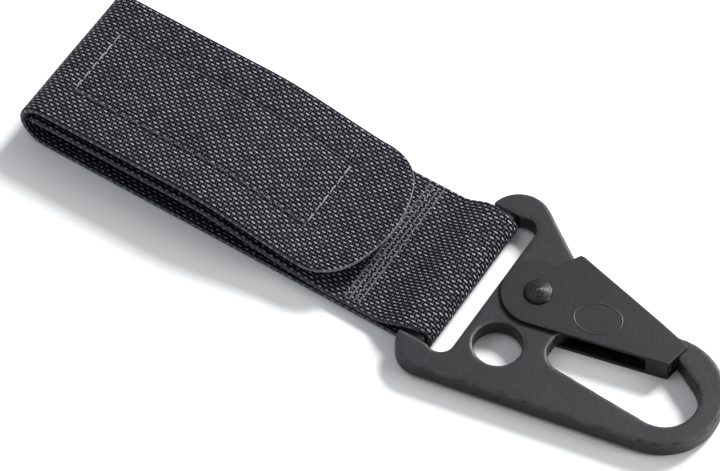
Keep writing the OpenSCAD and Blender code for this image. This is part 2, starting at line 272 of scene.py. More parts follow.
def woven_finish(name, dark, mid, painted_crown_highlight, rim_fray_and_highlight):
    f = Finish(name)
    along, across, _ = f.split(f.node("ShaderNodeUVMap", {"uv_map": "strip"}))
    u, v = along / WEFT_PITCH, across / WARP_PITCH
    in_u, in_v = (u - u.floor() - 0.5) * 2, (v - v.floor() - 0.5) * 2
    warp, weft = weave_heights(u, v, in_u, in_v)
    warp_shows = (warp - weft).ramp(-0.04, 0.04)
    height = warp.most(weft)

    # filaments run along whichever thread is on top
    warp_lines = f.grain(f.join(along * ALONG_SCALE, across * FILAMENT_SCALE), 1.0, 1.0)
    weft_lines = f.grain(f.join(along * FILAMENT_SCALE, across * ALONG_SCALE), 1.0, 1.0)
    lines = warp_lines * warp_shows + weft_lines * (1 - warp_shows)
    crossing = f.join(u.floor(), v.floor())
    thread = f.node("ShaderNodeTexWhiteNoise", {"noise_dimensions": "2D"}, {"Vector": crossing})

    # painted highlight: the crown of each float is painted lighter, by an amount that varies from float to
    # float
    warp_crest = (1 - in_v * in_v * 6.0).most(0) * (1 - in_u * in_u * in_u * in_u * 0.8)
    weft_crest = (1 - in_u * in_u * 7.0).most(0) * (1 - in_v * in_v) * (1 - warp_shows) * 0.22
    patch = f.grain(f.join(along * 420, across * 420), 1.0).ramp(0.25, 0.75)
    vary = thread * 0.6 + lines * 0.6 + patch * 0.4
    painted_highlight = ((warp_shows * warp_crest + weft_crest) * vary).least(1)
    cloud = f.grain(f.here(), 95, 3.0)
    lift = height.ramp(0.15, 1.02)
    # painted shade darkens the gaps between crowns towards dark, and the painted highlight lightens each
    # crown
    base = f.blend(painted_highlight, f.blend(lift * (0.7 + cloud * 0.5), dark, mid), painted_crown_highlight)

    # painted edge highlight: the strip's edges and its cut ends are painted lighter, broken up where they
    # are a little frayed
    fray = f.grain(f.join(along * 2600, across * 2600), 1.0).ramp(0.3, 0.75)
    edge = 1 - f.measure("from_edge").ramp(RIM_START, RIM_WIDTH)
    base = f.blend(edge * (0.3 + fray * 0.7), base, rim_fray_and_highlight)
    cut = 1 - f.measure("from_cut").ramp(RIM_START, CUT_WIDTH)
    base = f.blend(cut * (0.35 + fray * 0.6), base, tuple(c * CUT_PAINTED_LIGHTER for c in rim_fray_and_highlight))
    return f.done(base_color=base, roughness=0.62 - painted_highlight * 0.27 - lines * 0.08,
        normal=f.bump(height + lines * 0.10, WEAVE_DEPTH), specular_ior_level=0.035)


# the dark gap and crown colours hold painted shade and painted highlight, and the rim colour a painted edge
# highlight
webbing = woven_finish("webbing", (0.0006, 0.0006, 0.0010), (0.0048, 0.0048, 0.0074),
    (0.315, 0.318, 0.365), (0.09, 0.09, 0.10))

# %% [markdown]
# ## The line of the strap
#
# Webbing keeps its thickness as it bends, so its side view is a line with the
# same cloth on both sides. The line is drawn once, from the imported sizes. One
# strip would do, but a piece can bend between only two bodies, so it is made as
# two runs that meet at the outside of the belt turn.

# %% Sizes along the strap
LEFT = box["belt_turn"][0].x
CLOTH = box["back_webbing"][1].z
HALF = box["front_webbing"][1].y
TURN = box["belt_turn"][1].z / 2
FRONT_TOP = box["front_webbing"][1].z
FRONT_START = box["front_webbing"][0].x
FLAP_TIP = box["flap_webbing"][1].x
FLAP_LIFT = box["flap_webbing"][1].z - FRONT_TOP - CLOTH
SLACK = 0.3 * MM
SEWN_TOP = 2 * CLOTH + SLACK
FOLD_END, FOLD_TOP = box["bar_turn"][1].x, box["bar_turn"][1].z
FOLD_CORNER = 1.95 * MM
DROP_TO = FLAP_TIP - 4 * MM
DROP_FROM = DROP_TO - 34 * MM
FLEX_X, FLEX_REACH = FOLD_END - 10.5 * MM, 1.9 * MM
RISE_START, RISE_END = FLEX_X - FLEX_REACH, FLEX_X + 5.3 * MM
FLAP_BOW, FLAP_CORNER = 25 * MM, 10 * MM
TIP_FREE_FROM, TIP_RISE = box["hook_tape"][1].x - 1.5 * MM, 1.3 * MM
crest = LEFT + TURN
middle = CLOTH / 2
print("belt turn crest and flex line at x, mm:", round(crest / MM, 1), round(FLEX_X / MM, 1))

# %% Heights along the strap
def ease(t):
    t = min(max(t, 0.0), 1.0)
    return t * t * (3 - 2 * t)


def front_z(x):
    """Top of the front layer."""
    return FRONT_TOP - (FRONT_TOP - SEWN_TOP) * ease((x - DROP_FROM) / (DROP_TO - DROP_FROM))


def free_tip(x):
    """Past the hook tape nothing holds the flap down, so its tip stands up a little."""
    return TIP_RISE * ease((x - TIP_FREE_FROM) / (FLAP_TIP - TIP_FREE_FROM))


def flap_middle(x):
    return front_z(x) + FLAP_LIFT + middle + free_tip(x)


def front_middle(x):
    """The front layer rises from the sewn level to the top of the bar."""
    rise = FOLD_TOP - middle - SEWN_TOP + middle
    return front_z(x) - middle + rise * ease((x - RISE_START) / (RISE_END - RISE_START))


# %% The two lines
def arc(centre, radius, start, end, step=4.0):
    """Points on a circle in side view, from one angle to another in degrees."""
    count = max(2, int(abs(end - start) / step))
    angles = [math.radians(start + (end - start) * i / count) for i in range(count + 1)]
    return [(centre[0] + radius * math.cos(a), centre[1] + radius * math.sin(a)) for a in angles]


def run(x0, x1, height, step=0.7 * MM):
    """Points over a height that depends on x."""
    count = max(2, int(abs(x1 - x0) / step))
    xs = [x0 + (x1 - x0) * i / count for i in range(count + 1)]
    return [(x, height(x)) for x in xs]


flap_line = arc((crest, TURN), TURN - middle, 180, 90) + run(crest, FLAP_TIP, flap_middle)[1:]

right, upper = FOLD_END - middle - FOLD_CORNER, FOLD_TOP - middle
body_line = arc((crest, TURN), TURN - middle, 180, 270) + run(crest, right, lambda x: middle)[1:]
body_line += arc((right, middle + FOLD_CORNER), FOLD_CORNER, -90, 0, 8)[1:]
body_line += arc((right, upper - FOLD_CORNER), FOLD_CORNER, 0, 90, 8)
body_line += run(right, RISE_END, lambda x: upper)[1:]
body_line += run(RISE_END, FRONT_START + 0.05 * MM, front_middle, 0.45 * MM)[1:]
print("flap run has", len(flap_line), "steps and body run has", len(body_line))

# %% [markdown]
# ## Cut ends
#
# The flap ends in a bowed cut with round corners, and the front layer and the
# tapes end straight across. Each kind of end tells how wide the cloth is at a
# distance along it, and how far inside its edge a point is. Steps are set close
# together near an edge, so that it can be rounded.

# %% Steps near an edge
EDGE_ROUND = 0.42 * MM
EDGE_STEPS = [EDGE_ROUND * (1 - math.cos(math.radians(a))) for a in (0, 15, 30, 47, 66, 90)]
STEP_BEFORE_EDGE = 0.8 * MM


def columns_across(half, fine):
    """Places across the strap, crowded at the two edges."""
    inner = half - EDGE_ROUND
    count = int(2 * inner / fine)
    middle_part = [-inner + 2 * inner * i / count for i in range(1, count)]
    return [-half + d for d in EDGE_STEPS] + middle_part + [half - d for d in reversed(EDGE_STEPS)]


# %% The flap's bowed tip
class Tip:
    """A cut bowed to a large radius, with a round corner at each side. Its s counts from its start."""

    def __init__(self, length, half, bow, corner_r):
        self.length, self.half, self.bow, self.corner_r = length, half, bow, corner_r
        self.bow_s, self.corner_y = length - bow, half - corner_r
        self.corner_s = self.bow_s + math.sqrt((bow - corner_r) ** 2 - self.corner_y**2)
        self.angle = math.atan2(self.corner_y, self.corner_s - self.bow_s)

    def distance(self, s, y):
        """How far a point of the flat cut is inside its edge."""
        y = abs(y)
        if s <= self.corner_s:
            return self.half - y
        if math.atan2(y, s - self.bow_s) > self.angle:
            return self.corner_r - math.hypot(s - self.corner_s, y - self.corner_y)
        return self.bow - math.hypot(s - self.bow_s, y)

    def half_width(self, s):
        if s <= self.corner_s:
            return self.half
        y = self.corner_y + math.sqrt(max(self.corner_r**2 - (s - self.corner_s) ** 2, 0))
        if math.atan2(y, s - self.bow_s) > self.angle:
            return y
        return math.sqrt(max(self.bow**2 - (s - self.bow_s) ** 2, 0))

    def crowd(self, s):
        """The same steps up to the tip, and closer ones where the outline turns in."""
        first = s[s < self.corner_s - 0.4 * MM]
        turn = self.length - self.corner_s
        near = [turn * math.cos(math.radians(a)) ** 2 for a in range(0, 91, 3)]
        return np.concatenate([first, [self.length - d for d in near]])


# %% A straight cut
class Square:
    """A cut straight across cloth that may be pinched narrower on its way."""

    def __init__(self, length, half, pinch=None):
        self.length, self.half, self.pinch = length, half, pinch

    def distance(self, s, y):
        return min(self.half_width(s) - abs(y), self.length - s)

    def half_width(self, s):
        return self.half - (self.pinch(s) if self.pinch else 0)

    def crowd(self, s):
        first = s[s < self.length - 1.0 * MM]
        near = [STEP_BEFORE_EDGE, 0.6 * MM, *reversed(EDGE_STEPS)]
        return np.concatenate([first, [self.length - d for d in near]])


# %% [markdown]
# ## Laying cloth along a line
#
# A ribbon is a grid of points on both faces of the cloth, with rows along the
# line and columns across it. Either face can be pushed in or out, which is how
# seams and waves are made. Its map and its distances from the edges go with the
# points, for the finish to read.

# %% Meshes from lists
def remember_place(made):
    """Stores each point's place at rest, so that a pattern stays on a piece that bends."""
    mesh = made.data
    co = np.zeros(len(mesh.vertices) * 3, np.float32)
    mesh.vertices.foreach_get("co", co)
    mesh.attributes.new("rest_place", "FLOAT_VECTOR", "POINT").data.foreach_set("vector", co)


def solid(name, verts, faces, uv=None, measures=None):
    """A mesh object with one map point a vertex and a number a vertex for each measure."""
    mesh = bpy.data.meshes.new(name)
    mesh.from_pydata([tuple(map(float, v)) for v in verts], [], [tuple(map(int, q)) for q in faces])
    if uv is not None:
        layer = mesh.uv_layers.new(name="strip")
        corners = np.zeros(len(mesh.loops), int)
        mesh.loops.foreach_get("vertex_index", corners)
        layer.uv.foreach_set("vector", np.array(uv, np.float32)[corners].ravel())
    for key, values in (measures or {}).items():
        mesh.attributes.new(key, "FLOAT", "POINT").data.foreach_set("value", np.array(values, np.float32))
    made = bpy.data.objects.new(name, mesh)
    bpy.context.scene.collection.objects.link(made)
    work = bmesh.new()
    work.from_mesh(mesh)
    bmesh.ops.recalc_face_normals(work, faces=work.faces)
    work.to_mesh(mesh)
    work.free()
    mesh.shade_smooth()
    remember_place(made)
    return made


def dress(made, material, body=None, replaced=()):
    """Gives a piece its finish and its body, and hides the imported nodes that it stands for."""
    made.data.materials.clear()
    made.data.materials.append(material)
    if body:
        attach(made, body)
    if replaced:
        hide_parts(*replaced)
    print(made.name, "has", len(made.data.polygons), "faces")
    return made


# %% Ribbons
FACING = 0.3 * MM
UNDER_SHIFT = 0.37 * MM
NO_CUT_NEAR = 1.0


def followed(line, cut, closed_start):
    """Distances along a line, with the places and the facings there."""
    p = np.array(line, float)
    line_s = np.concatenate([[0], np.cumsum(np.linalg.norm(np.diff(p, axis=0), axis=1))])
    s = cut.crowd(line_s)
    if closed_start:
        s = np.concatenate([EDGE_STEPS, s[s > STEP_BEFORE_EDGE]])

    def at(distance):
        return np.stack([np.interp(distance, line_s, p[:, k]) for k in (0, 1)], 1)

    tangent = at(s + FACING) - at(s - FACING)
    tangent /= np.linalg.norm(tangent, axis=1)[:, None]
    return s, at(s), np.stack([-tangent[:, 1], tangent[:, 0]], 1)


def grid_faces(top, low, closed_start):
    """Faces between the rows of both sides. A start that isn't closed to an edge gets a flat end."""
    faces = []
    rows, columns = top.shape
    for i in range(rows - 1):
        for j in range(columns - 1):
            faces.append((top[i, j], top[i + 1, j], top[i + 1, j + 1], top[i, j + 1]))
            faces.append((low[i, j], low[i, j + 1], low[i + 1, j + 1], low[i + 1, j]))
    if not closed_start:
        for j in range(columns - 1):
            faces.append((top[0, j], top[0, j + 1], low[0, j + 1], low[0, j]))
    faces = [tuple(dict.fromkeys(q)) for q in faces]
    return [q for q in faces if len(q) > 2]


def ribbon(name, line, thick, cut, relief=None, under=None, sign=1.0, fine=0.62 * MM, closed_start=False):
    """Cloth laid along a line. relief and under push its two faces along the normal."""
    s, p, normal = followed(line, cut, closed_start)
    base = columns_across(cut.half, fine)
    verts, uv, from_edge, from_cut = [], [], [], []
    top, low = np.zeros((2, len(s), len(base)), int)
    for i in range(len(s)):
        width = cut.half_width(s[i])
        for j, b in enumerate(base):
            y = b * width / cut.half
            d = cut.distance(s[i], y)
            d = max(min(d, s[i]) if closed_start else d, 0.0)
            k = min(d / EDGE_ROUND, 1.0)
            edge = j in (0, len(base) - 1) or d < 1e-8
            half_thick = 0.0 if edge else thick / 2 * math.sqrt(max(1 - (1 - k) ** 2, 0.0))
            inside = (cut.half if isinstance(cut, Tip) else width) - abs(y)
            for side, table, push in ((1, top, relief), (-1, low, under)):
                if side == -1 and edge:
                    table[i, j] = top[i, j]
                    continue
                off = side * (half_thick + (k * push(s[i], y) if push else 0.0))
                table[i, j] = len(verts)
                verts.append((p[i, 0] + normal[i, 0] * off, y, p[i, 1] + normal[i, 1] * off))
                uv.append((sign * s[i], y + (0.0 if side == 1 else UNDER_SHIFT)))
                from_edge.append(inside)
                from_cut.append(d if d < inside - 1e-7 else NO_CUT_NEAR)
    return solid(name, verts, grid_faces(top, low, closed_start), uv,
        {"from_edge": from_edge, "from_cut": from_cut})


# %% [markdown]
# ## Sewn channels
#
# A seam pulls the cloth down in a shallow channel. The box seam that holds the
# hook tape shows on the flap as a rectangle, and the tack across the front layer
# is a band of four channels. Both are pressed into the grid, and the cloth also
# gets a slow, shallow wave so that it doesn't look like a ruled surface.

# %% Seams and waves
SEAM_HALF = (box["hook_tape"][1].y - box["hook_tape"][0].y) / 2 - 2 * MM
SEAM_LEFT = box["hook_tape"][0].x + 1 * MM
SEAM_RIGHT = box["hook_tape"][1].x - 2 * MM
SEAM_WIDTH, SEAM_DEPTH = 0.5 * MM, 0.22 * MM
DIMPLE_WIDTH, DIMPLE_DEPTH = 2.2 * MM, 0.14 * MM
TACK_X, TACK_PITCH, TACK_ROWS = FLAP_TIP - 1.5 * MM, 1.0 * MM, 4
TACK_WIDTH, TACK_DEPTH = 0.28 * MM, 0.07 * MM
BAND_WIDTH, BAND_DEPTH = 3.0 * MM, 0.15 * MM
WAVE_SIZE, WAVE_DEPTH, LOW_WAVE_DEPTH = 9 * MM, 0.10 * MM, 0.05 * MM
FLAP_SEED, BODY_SEED = 1.7, 4.1


def wave(x, y, seed, depth=WAVE_DEPTH):
    return depth * noise.noise(Vector((x / WAVE_SIZE, y / WAVE_SIZE, seed)))


def line_pull(distance, width, depth):
    return -depth * math.exp(-((distance / width) ** 2))


# %% The flap's relief
flap_s0 = (TURN - middle) * math.pi / 2
tip_s = flap_s0 + FLAP_TIP - crest


def flap_relief(s, y):
    """Push on the flap's outer face at a distance along it."""
    x = crest + (s - flap_s0)
    pull = 0.0
    if SEAM_LEFT - 2 * MM < x < SEAM_RIGHT + 2 * MM:
        dx = max(SEAM_LEFT - x, 0, x - SEAM_RIGHT)
        dy = max(abs(y) - SEAM_HALF, 0)
        inside = min(x - SEAM_LEFT, SEAM_RIGHT - x, SEAM_HALF - abs(y))
        distance = math.hypot(dx, dy) if inside < 0 else inside
        pull = line_pull(distance, SEAM_WIDTH, SEAM_DEPTH) + line_pull(distance, DIMPLE_WIDTH, DIMPLE_DEPTH)
    return pull + wave(x, y, FLAP_SEED) * ease(s / (4 * MM))


# %% The body run's relief and its pinched fold
PINCH, PINCH_AFTER, PINCH_WIDTH = 0.95 * MM, 2.2 * MM, 3.0 * MM
body_points = np.array(body_line)
body_s = np.concatenate([[0], np.cumsum(np.linalg.norm(np.diff(body_points, axis=0), axis=1))])
fold_s = float(body_s[np.argmax(body_points[:, 0])])
front_from_s = float(body_s[-1]) - (RISE_END - FRONT_START)


def fold_pinch(s):
    """The round ends of the slot pull the strip in where it comes over the bar."""
    return PINCH * math.exp(-(((s - fold_s - PINCH_AFTER) / PINCH_WIDTH) ** 2))


def front_relief(s, y):
    """Push on the body run's under side, which is the strap's underside and then the front's top."""
    x = float(np.interp(s, body_s, body_points[:, 0]))
    if s < front_from_s:
        return (wave(x, y, BODY_SEED, LOW_WAVE_DEPTH) - LOW_WAVE_DEPTH) * ease(s / (6 * MM))
    pull = sum(line_pull(x - TACK_X - k * TACK_PITCH, TACK_WIDTH, TACK_DEPTH) for k in range(TACK_ROWS))
    band = line_pull(x - TACK_X - 1.5 * TACK_PITCH, BAND_WIDTH, BAND_DEPTH)
    return pull + wave(x, y, BODY_SEED) + band


# %% The two runs
def length_of(line):
    return float(np.linalg.norm(np.diff(np.array(line), axis=0), axis=1).sum())


flap_run = ribbon("flap_run", flap_line, CLOTH, Tip(length_of(flap_line), HALF, FLAP_BOW, FLAP_CORNER),
    flap_relief, sign=-1.0)
body_run = ribbon("body_run", body_line, CLOTH, Square(length_of(body_line), HALF, fold_pinch),
    under=front_relief)
dress(flap_run, webbing, replaced=("flap_webbing", "belt_turn"))
dress(body_run, webbing, replaced=("back_webbing", "front_webbing", "bar_turn"))
flap_flat = 2 * HALF, tip_s
body_flat = 2 * HALF, float(body_s[-1])
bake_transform(flap_run)
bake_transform(body_run)
print("flat cuts, mm:", [[round(a / MM, 1) for a in q] for q in (flap_flat, body_flat)])

# %% [markdown]
# ## Hook-and-loop tape
#
# One tape carries rows of stiff nylon hooks and the other a pile of fine loops.
# A bump map would look flat when the flap is open, so both are real: a thin
# woven backing laid on the same line as the webbing, with a small bent filament
# for each hook and a random arch for each loop. The order of the random draws is
# fixed by a seed.

# %% Tape backings
BACKING = 0.5 * MM
TAPE_START = box["hook_tape"][0].x
HOOK_END, LOOP_END = box["hook_tape"][1].x, box["loop_tape"][1].x
HOOK_HALF, LOOP_HALF = box["hook_tape"][1].y, box["loop_tape"][1].y
PILE = (FLAP_LIFT - 2 * BACKING) / 2 - 0.03 * MM
RIB_ALONG, RIB_ACROSS, TAPE_RELIEF = 0.62 * MM, 0.55 * MM, 0.08 * MM


def tape_finish(name, dark, light):
    f = Finish(name)
    x, y, _ = f.split(f.here())
    rib = (x * (2 * math.pi / RIB_ALONG)).sine() * 0.5 + (y * (2 * math.pi / RIB_ACROSS)).sine() * 0.5
    fluff = f.grain(f.here(), 2600, 3.0)
    cloud = f.grain(f.here(), 140)
    base = f.blend((rib * 0.2 + fluff * 0.7 + cloud * 0.3).ramp(0.25, 0.95), dark, light)
    return f.done(base_color=base, roughness=0.78 - fluff * 0.2,
        normal=f.bump(rib * 0.5 + fluff, TAPE_RELIEF), sheen_weight=0.35, sheen_roughness=0.5)


def tape(name, end, half, lift):
    line = run(TAPE_START, end, lambda x: front_z(x) + lift, 0.9 * MM)
    return ribbon(name, line, BACKING, Square(length_of(line), half), fine=1.0 * MM, closed_start=True)


tape_cloth = tape_finish("tape", (0.004, 0.004, 0.005), (0.035, 0.035, 0.040))
hook_tape = tape("hook_backing", HOOK_END, HOOK_HALF, FLAP_LIFT - BACKING / 2)
loop_tape = tape("loop_backing", LOOP_END, LOOP_HALF, BACKING / 2)

# %% Sweeping a thread
def tube_faces(first, rings, sides, joined=False):
    """Faces of a tube whose points start at a number. Its ends are capped unless they are joined."""
    faces = []
    for i in range(rings if joined else rings - 1):
        here, ahead = first + i * sides, first + (i + 1) % rings * sides
        for k in range(sides):
            n = (k + 1) % sides
            faces.append((here + k, here + n, ahead + n, ahead + k))
    if not joined:
        faces.append(tuple(first + k for k in reversed(range(sides))))
        faces.append(tuple(first + (rings - 1) * sides + k for k in range(sides)))
    return faces


def direction(path, i):
    return (path[min(i + 1, len(path) - 1)] - path[max(i - 1, 0)]).normalized()


def sweep(verts, faces, path, radius, sides=4):
    """Adds a thin round thread along a path to the lists of a mesh. radius may be a number a point."""
    path = [Vector(q) for q in path]
    faces += tube_faces(len(verts), len(path), sides)
    for i, here in enumerate(path):
        ahead = direction(path, i)
        guide = Vector((0.13, 0.21, 0.97)) if abs(ahead.z) < 0.9 else Vector((1, 0.2, 0))
        side = ahead.cross(guide).normalized()
        other = ahead.cross(side)
        thick = radius[i] if isinstance(radius, list) else radius
        for k in range(sides):
            turn = 2 * math.pi * k / sides
            verts.append(here + thick * (math.cos(turn) * side + math.sin(turn) * other))


# %% Hooks
chance = np.random.default_rng(7)
HOOK_STEP, HOOK_MARGIN = 1.25 * MM, 1.6 * MM
# a hook's side view from its root: reach in millimetres, and drop as a part of BEND_DROP
HOOK_BEND = [(0, 0), (0.02, 0.3), (0.10, 0.55), (0.24, 0.66), (0.36, 0.58), (0.40, 0.42)]
HOOK_THICK = [0.11 * MM, 0.10 * MM, 0.10 * MM, 0.09 * MM, 0.08 * MM, 0.06 * MM]
BEND_DROP = 0.75


def hook_rows():
    verts, faces = [], []
    tall = PILE + 0.05 * MM
    for i in range(int((HOOK_END - TAPE_START - HOOK_MARGIN) / HOOK_STEP)):
        for j in range(int((2 * HOOK_HALF - HOOK_MARGIN) / HOOK_STEP)):
            x = TAPE_START + 1.2 * MM + i * HOOK_STEP + chance.normal(0, 0.05) * MM
            y = -HOOK_HALF + 1.3 * MM + j * HOOK_STEP + (i % 2) * 0.4 * HOOK_STEP
            root = front_z(x) + FLAP_LIFT - BACKING + 0.05 * MM
            way = -1 if j % 2 else 1
            path = [(x + way * a * MM, y, root - b * tall / BEND_DROP) for a, b in HOOK_BEND]
            sweep(verts, faces, path, HOOK_THICK)
    return solid("hook_filaments", verts, faces)


hooks = hook_rows()

# %% Loops
LOOP_COUNT, LOOP_THICK, LOOP_STEPS = 2300, 0.045 * MM, 6


def loop_tangle():
    verts, faces = [], []
    for _ in range(LOOP_COUNT):
        x = chance.uniform(TAPE_START + 0.9 * MM, LOOP_END - 0.9 * MM)
        y = chance.uniform(-LOOP_HALF + 0.7 * MM, LOOP_HALF - 0.7 * MM)
        turn = chance.uniform(0, math.pi)
        reach, tall = chance.uniform(0.25, 0.55) * MM, chance.uniform(0.65, 1.0) * PILE
        lean = chance.normal(0, 0.12, 2) * MM
        root = front_z(x) + BACKING - 0.04 * MM
        path = []
        for a in [math.pi * k / LOOP_STEPS for k in range(LOOP_STEPS + 1)]:
            out, up = reach * math.cos(a), math.sin(a)
            path.append((x + math.cos(turn) * out + lean[0] * up, y + math.sin(turn) * out + lean[1] * up,
                root + tall * up))
        sweep(verts, faces, path, LOOP_THICK, 3)
    return solid("loop_pile", verts, faces)


loops = loop_tangle()

# %% Dressing the tapes
def filament_finish(name, dark, light):
    f = Finish(name)
    vary = f.grain(f.here(), 1500)
    base = f.blend(vary.ramp(0.3, 0.7), dark, light)
    return f.done(base_color=base, roughness=0.5 - vary * 0.15,
        normal=f.bump(f.grain(f.here(), 20000), 0.01 * MM), specular_ior_level=0.5)


nylon_hooks = filament_finish("hook_nylon", (0.008, 0.008, 0.009), (0.035, 0.035, 0.038))
nylon_loops = filament_finish("loop_nylon", (0.006, 0.006, 0.007), (0.045, 0.045, 0.050))
dress(hook_tape, tape_cloth, replaced=("hook_tape",))
dress(hooks, nylon_hooks)
dress(loop_tape, tape_cloth, "strap", ("loop_tape",))
dress(loops, nylon_loops, "strap")
for piece in (hook_tape, hooks):
    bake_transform(piece)

# %% [markdown]
# ## Stitches
#
# A lock stitch shows as a short raised float that dives into the cloth at each
# end. Each one is a thread bent into a low arch with its ends under the surface,
# with a slight random turn, as a machine leaves it. Two strands twisted together
# make the thread, drawn with fine slanted lines in its finish. Threads that run
# across the strap get a painted highlight in their colour, and the ones along it stay dark.

# %% Sewing
THREAD, TWIST = 0.35 * MM, 0.34 * MM
STITCH, STITCH_STEP = 1.9 * MM, 2.4 * MM
ENDS_UNDER, DIVE = 0.3 * MM, 0.256 * MM
STITCH_STEPS = 8


def seam_places(a, b, step):
    count = int(math.floor((b - a) / step + 1e-6))
    return [a + (i + 0.5) * (b - a) / count for i in range(count)]


def sew(name, seams, lift, pull, stitch=STITCH, step=STITCH_STEP, wander=0.045, painted_highlight=1.0):
    """seams: (axis, from, to, other) rows, along x or across y, lying lift above the front layer."""
    verts, faces, painted_thread_highlight = [], [], []
    for axis, a, b, other in seams:
        for middle_at in seam_places(a, b, step):
            turn = chance.normal(0, wander)
            height = THREAD * (0.36 + 0.05 * chance.normal())
            path = []
            for k in range(STITCH_STEPS + 1):
                t = k / STITCH_STEPS - 0.5
                along, off = middle_at + t * (stitch + ENDS_UNDER), other + t * stitch * turn
                x, y = (along, off) if axis == "x" else (off, along)
                arch = 1 - (2 * abs(t)) ** 4
                path.append((x, y, front_z(x) + lift - pull + height * arch - DIVE * (1 - arch)))
            sweep(verts, faces, path, THREAD / 2, 8)
            # painted highlight: a stitch across the strap gets a lighter colour, one along it none
            lit = painted_highlight * max(0.0, 1 + 0.25 * chance.normal()) if axis == "y" else 0.0
            painted_thread_highlight += [lit] * (len(verts) - len(painted_thread_highlight))
    return solid(name, verts, faces, measures={"painted_thread_highlight": painted_thread_highlight})


# %% The thread's finish
def thread_finish():
    f = Finish("thread")
    x, y, z = f.split(f.here())
    twist = ((x + y * 0.9 + z * 0.4) * (2 * math.pi / TWIST)).sine()
    fuzz = f.grain(f.here(), 7000)
    # painted highlight: the thread's colour is lighter on stitches that run across the strap
    sheen = (twist * 0.25 + fuzz * 0.7 + 0.12).ramp(0.1, 0.9) * (f.measure("painted_thread_highlight") * 0.85 + 0.15)
    base = f.blend(sheen, (0.005, 0.005, 0.006), (0.30, 0.30, 0.32))
    return f.done(base_color=base, roughness=0.52 - fuzz * 0.15,
        normal=f.bump(twist * 0.6 + fuzz * 0.4, 0.04 * MM), sheen_weight=0.3, sheen_roughness=0.4)


thread = thread_finish()

# %% The three seams
SEAM_GAP = 0.5 * MM
TACK_STITCH, TACK_STEP, TACK_WANDER, TACK_PAINTED_HIGHLIGHT = 0.95 * MM, 1.05 * MM, 0.36, 0.26
TACK_SINK, LOOP_SINK = 0.20 * MM, 0.02 * MM
loop_seam_y, loop_seam_x = (HOOK_HALF + LOOP_HALF) / 2, LOOP_END - 1 * MM

flap_seams = [("x", SEAM_LEFT, SEAM_RIGHT, side * SEAM_HALF) for side in (-1, 1)]
flap_seams += [("y", SEAM_GAP - SEAM_HALF, SEAM_HALF - SEAM_GAP, x) for x in (SEAM_LEFT, SEAM_RIGHT)]
tack_seams = [("y", 1 * MM - HALF, HALF - 1 * MM, TACK_X + k * TACK_PITCH) for k in range(TACK_ROWS)]
loop_seams = [("x", SEAM_LEFT, loop_seam_x, side * loop_seam_y) for side in (-1, 1)]
loop_seams += [("y", 1 * MM - loop_seam_y, loop_seam_y - 1 * MM, loop_seam_x)]

flap_thread = sew("flap_thread", flap_seams, FLAP_LIFT + CLOTH, SEAM_DEPTH)
dress(flap_thread, thread, replaced=("flap_stitches",))
tack_thread = sew("tack_thread", tack_seams, 0, TACK_SINK, TACK_STITCH, TACK_STEP, TACK_WANDER, TACK_PAINTED_HIGHLIGHT)
dress(tack_thread, thread, "strap", ("tack_stitches",))
loop_thread = sew("loop_thread", loop_seams, BACKING, LOOP_SINK)
dress(loop_thread, thread, "strap", ("loop_tape_stitches",))
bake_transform(flap_thread)

# %% [markdown]
# ## The cast frame
#
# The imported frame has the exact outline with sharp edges. A die casting has soft
# edges, and they carry most of the light. A bevel would need every corner of the
# outline to have room for it, so the copy is turned into an even skin of small
# squares instead, and its points are averaged with their neighbours. Flat and
# gently curved parts stay where they are, and edges turn round. How far a point
# sank is kept as a measure, so that the coating can be worn there.

# %% An even skin
WELD = 0.005 * MM


def welded(node):
    """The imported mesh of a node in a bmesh, with the points that share a place joined."""
    work = bmesh.new()
    work.from_mesh(bpy.data.objects[node].data)
    bmesh.ops.remove_doubles(work, verts=work.verts, dist=WELD)
    return work


def skin_of(node, name, square):
    """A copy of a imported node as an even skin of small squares."""
    mesh = bpy.data.objects[node].data.copy()
    work = welded(node)
    work.to_mesh(mesh)
    work.free()
    made = bpy.data.objects.new(name, mesh)
    bpy.context.scene.collection.objects.link(made)
    skin = made.modifiers.new("skin", "REMESH")
    skin.mode, skin.voxel_size, skin.adaptivity = "VOXEL", square, 0
    made.data = bpy.data.meshes.new_from_object(made.evaluated_get(bpy.context.evaluated_depsgraph_get()))
    made.modifiers.clear()
    made.data.materials.clear()
    while made.data.attributes.get("material_index"):
        made.data.attributes.remove(made.data.attributes["material_index"])
    return made


# %% Softening edges
WORN_SINK = 0.55


def averaged(points, edges, degree, rounds, share):
    """Moves each point halfway to the middle of its neighbours, as far as its share says."""
    for _ in range(rounds):
        total = np.stack([np.bincount(edges[:, 0], points[edges[:, 1], k], len(points))
            + np.bincount(edges[:, 1], points[edges[:, 0], k], len(points)) for k in range(3)], 1)
        points = points + 0.5 * share[:, None] * (total / degree[:, None] - points)
    return points


def rows_of(data, name, width, kind=np.float32):
    """One property of all points or edges of a mesh, a row for each."""
    values = np.zeros(len(data) * width, kind)
    data.foreach_get(name, values)
    return values.reshape(-1, width)


